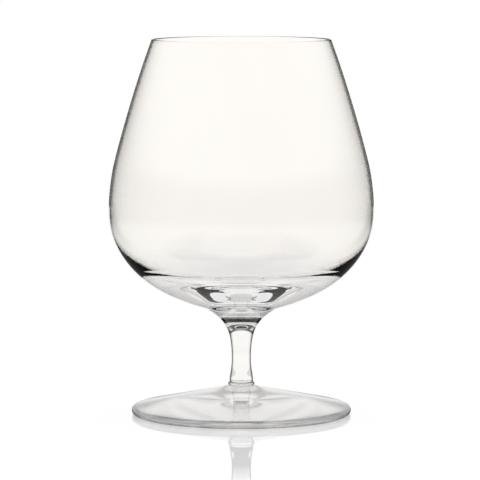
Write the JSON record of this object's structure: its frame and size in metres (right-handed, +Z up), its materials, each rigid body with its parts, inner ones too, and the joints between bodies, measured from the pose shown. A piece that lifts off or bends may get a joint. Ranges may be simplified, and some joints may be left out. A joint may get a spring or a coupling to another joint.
{
  "type": "brandy snifter",
  "caption": "Clear stemmed drinking glass with a wide rounded bowl that narrows to its mouth, on a short stem and a broad foot.",
  "frame": {"origin": "on the axis, at the table that the foot stands on", "axes": "+Z up along the axis of the glass, from the foot to the rim"},
  "size_m": [0.0996, 0.0996, 0.141],
  "materials": {
    "blown_glass": "clear, fire polished",
    "solid_glass": "clear, fire polished"
  },
  "bodies": {
    "root": {"bowl": "blown_glass", "stem": "solid_glass", "collar": "solid_glass", "foot": "solid_glass"}
  },
  "joints": []
}
